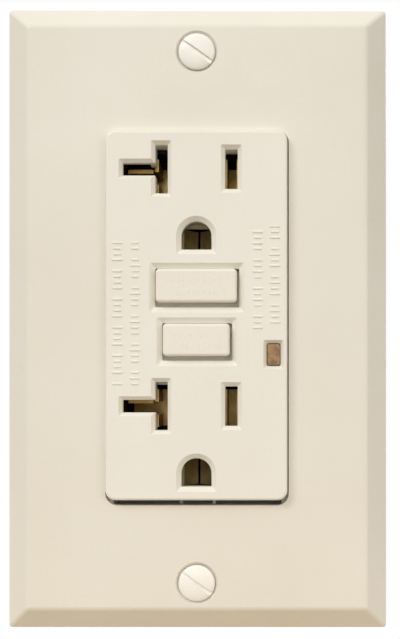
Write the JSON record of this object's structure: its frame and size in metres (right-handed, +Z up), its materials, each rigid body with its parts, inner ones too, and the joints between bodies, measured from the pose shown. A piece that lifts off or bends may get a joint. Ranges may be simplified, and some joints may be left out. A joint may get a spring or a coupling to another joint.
{
  "type": "ground-fault duplex receptacle with wall plate",
  "caption": "Duplex ground-fault outlet in a bevelled wall plate, with T-slot contacts, test and reset buttons, an indicator window and a boxed trip mechanism behind.",
  "frame": {"origin": "on the wall surface, midway between the two wall-plate screws", "axes": "+X to the right as the outlet is looked at, +Y into the wall, +Z up; the face looks along -Y"},
  "size_m": [0.0698, 0.0359, 0.1142],
  "materials": {
    "ivory_plate": "moulded, satin",
    "ivory_cover": "moulded, satin",
    "ivory_button": "moulded, satin",
    "painted_screw": "painted, semi-gloss",
    "amber_lens": "clear tinted",
    "galvanised_strap": "galvanised",
    "zinc_steel": "zinc plated",
    "contact_brass": "stamped",
    "brass_terminal": "turned",
    "nickel_terminal": "nickel plated",
    "green_screw": "green dyed zinc",
    "washer_card": "pressed fibre",
    "grey_housing": "moulded, matte",
    "grey_separator": "moulded, matte",
    "board_laminate": "solder mask",
    "black_plastic": "moulded, matte",
    "copper_winding": "enamelled wire",
    "blue_epoxy": "dipped",
    "film_capacitor": "dipped"
  },
  "bodies": {
    "device": {"wall_plate": "ivory_plate", "mounting_strap": "galvanised_strap", "box_screw_washer_upper": "washer_card", "box_screw_washer_lower": "washer_card", "ground_clip_upper": "contact_brass", "ground_clip_lower": "contact_brass", "face_cover": "ivory_cover", "light_pipe": "amber_lens", "reset_spring": "zinc_steel", "test_resistor": "blue_epoxy", "hot_face_contact": "contact_brass", "neutral_face_contact": "contact_brass", "separator": "grey_separator", "circuit_board": "board_laminate", "indicator_led": "amber_lens", "control_chip": "black_plastic", "varistor": "blue_epoxy", "capacitor": "film_capacitor", "thyristor": "black_plastic", "sensor_housing": "black_plastic", "fault_sensor_ring": "copper_winding", "neutral_sensor_ring": "copper_winding", "line_hot_conductor": "contact_brass", "line_neutral_conductor": "contact_brass", "load_hot_terminal": "contact_brass", "load_neutral_terminal": "contact_brass", "solenoid_bobbin": "black_plastic", "solenoid_coil": "copper_winding", "solenoid_frame": "zinc_steel", "plunger_spring": "zinc_steel", "back_housing": "grey_housing", "assembly_screw_1": "zinc_steel", "assembly_screw_2": "zinc_steel", "assembly_screw_3": "zinc_steel", "assembly_screw_4": "zinc_steel"},
    "reset": {"reset_button": "ivory_button", "reset_pin": "zinc_steel"},
    "lifter": {"contact_lifter": "black_plastic"},
    "latch": {"latch_slide": "zinc_steel"},
    "hot_arm": {"hot_moving_arm": "contact_brass"},
    "neutral_arm": {"neutral_moving_arm": "contact_brass"},
    "test": {"test_button": "ivory_button"},
    "test_leaf": {"test_blade": "contact_brass"},
    "plunger": {"solenoid_plunger": "zinc_steel"},
    "line_hot_clamp_plate": {"line_hot_clamp": "brass_terminal"},
    "line_hot_terminal_screw": {"line_hot_screw": "brass_terminal"},
    "line_neutral_clamp_plate": {"line_neutral_clamp": "nickel_terminal"},
    "line_neutral_terminal_screw": {"line_neutral_screw": "nickel_terminal"},
    "load_hot_clamp_plate": {"load_hot_clamp": "brass_terminal"},
    "load_hot_terminal_screw": {"load_hot_screw": "brass_terminal"},
    "load_neutral_clamp_plate": {"load_neutral_clamp": "nickel_terminal"},
    "load_neutral_terminal_screw": {"load_neutral_screw": "nickel_terminal"},
    "plate_screw_upper_body": {"plate_screw_upper": "painted_screw"},
    "box_screw_upper_body": {"box_screw_upper": "zinc_steel"},
    "plate_screw_lower_body": {"plate_screw_lower": "painted_screw"},
    "box_screw_lower_body": {"box_screw_lower": "zinc_steel"},
    "ground_screw_body": {"ground_screw": "green_screw"}
  },
  "joints": [
    {"name": "reset_press", "type": "slide", "parent": "device", "child": "reset", "axis": [0, 1, 0], "range_m": [0, 0.0028], "stiffness_N_per_m": 600, "springref_m": -0.001, "deforming": ["reset_spring"]},
    {"name": "contact_lift", "type": "slide", "parent": "device", "child": "lifter", "axis": [0, 1, 0], "range_m": [0, 0.0028]},
    {"name": "hot_arm_swing", "type": "hinge", "parent": "device", "child": "hot_arm", "pos_m": [0.01, 0.016, -0.0082], "axis": [-1, 0, 0], "range_deg": [0, 10.27]},
    {"name": "neutral_arm_swing", "type": "hinge", "parent": "device", "child": "neutral_arm", "pos_m": [-0.01, 0.016, -0.0082], "axis": [-1, 0, 0], "range_deg": [0, 10.27]},
    {"name": "test_press", "type": "slide", "parent": "device", "child": "test", "axis": [0, 1, 0], "range_m": [0, 0.0022], "stiffness_N_per_m": 500, "springref_m": -0.001},
    {"name": "test_leaf_bend", "type": "hinge", "parent": "device", "child": "test_leaf", "pos_m": [0.007, 0, -0.0048], "axis": [0, 0, -1], "range_deg": [0, 15.76]},
    {"name": "plunger_fire", "type": "slide", "parent": "device", "child": "plunger", "axis": [0, 0, -1], "range_m": [0, 0.0026], "stiffness_N_per_m": 150, "springref_m": -0.001, "deforming": ["plunger_spring"]},
    {"name": "latch_release", "type": "slide", "parent": "lifter", "child": "latch", "axis": [0, 0, -1], "range_m": [0, 0.0026]},
    {"name": "line_hot_clamp_slide", "type": "slide", "parent": "device", "child": "line_hot_clamp_plate", "axis": [1, 0, 0], "range_m": [0, 0.0024]},
    {"name": "line_hot_screw_turn", "type": "hinge", "parent": "line_hot_clamp_plate", "child": "line_hot_terminal_screw", "pos_m": [0.0197, 0.013, -0.019], "axis": [1, 0, 0], "range_deg": [0, 1080]},
    {"name": "line_neutral_clamp_slide", "type": "slide", "parent": "device", "child": "line_neutral_clamp_plate", "axis": [-1, 0, 0], "range_m": [0, 0.0024]},
    {"name": "line_neutral_screw_turn", "type": "hinge", "parent": "line_neutral_clamp_plate", "child": "line_neutral_terminal_screw", "pos_m": [-0.0197, 0.013, -0.019], "axis": [-1, 0, 0], "range_deg": [0, 1080]},
    {"name": "load_hot_clamp_slide", "type": "slide", "parent": "device", "child": "load_hot_clamp_plate", "axis": [1, 0, 0], "range_m": [0, 0.0024]},
    {"name": "load_hot_screw_turn", "type": "hinge", "parent": "load_hot_clamp_plate", "child": "load_hot_terminal_screw", "pos_m": [0.0197, 0.013, 0.019], "axis": [1, 0, 0], "range_deg": [0, 1080]},
    {"name": "load_neutral_clamp_slide", "type": "slide", "parent": "device", "child": "load_neutral_clamp_plate", "axis": [-1, 0, 0], "range_m": [0, 0.0024]},
    {"name": "load_neutral_screw_turn", "type": "hinge", "parent": "load_neutral_clamp_plate", "child": "load_neutral_terminal_screw", "pos_m": [-0.0197, 0.013, 0.019], "axis": [-1, 0, 0], "range_deg": [0, 1080]},
    {"name": "plate_screw_upper_turn", "type": "hinge", "parent": "device", "child": "plate_screw_upper_body", "pos_m": [0, -0.0056, 0.04842], "axis": [0, -1, 0], "range_deg": [0, 1080]},
    {"name": "box_screw_upper_turn", "type": "hinge", "parent": "device", "child": "box_screw_upper_body", "pos_m": [0, -0.0016, 0.04165], "axis": [0, -1, 0], "range_deg": [0, 1080]},
    {"name": "plate_screw_lower_turn", "type": "hinge", "parent": "device", "child": "plate_screw_lower_body", "pos_m": [0, -0.0056, -0.04842], "axis": [0, -1, 0], "range_deg": [0, 1080]},
    {"name": "box_screw_lower_turn", "type": "hinge", "parent": "device", "child": "box_screw_lower_body", "pos_m": [0, -0.0016, -0.04165], "axis": [0, -1, 0], "range_deg": [0, 1080]},
    {"name": "ground_screw_turn", "type": "hinge", "parent": "device", "child": "ground_screw_body", "pos_m": [-0.0148, 0.0052, -0.0392], "axis": [-1, 0, 0], "range_deg": [0, 1080]}
  ],
  "couplings": [
    {"joint": "contact_lift", "follows": "reset_press", "ratio": 1},
    {"joint": "hot_arm_swing", "follows": "reset_press", "rad_per_m": 64},
    {"joint": "neutral_arm_swing", "follows": "reset_press", "rad_per_m": 64},
    {"joint": "test_leaf_bend", "follows": "test_press", "rad_per_m": 125},
    {"joint": "latch_release", "follows": "plunger_fire", "ratio": 1},
    {"joint": "line_hot_screw_turn", "follows": "line_hot_clamp_slide", "rad_per_m": 7853.9},
    {"joint": "line_neutral_screw_turn", "follows": "line_neutral_clamp_slide", "rad_per_m": 7853.9},
    {"joint": "load_hot_screw_turn", "follows": "load_hot_clamp_slide", "rad_per_m": 7853.9},
    {"joint": "load_neutral_screw_turn", "follows": "load_neutral_clamp_slide", "rad_per_m": 7853.9}
  ]
}
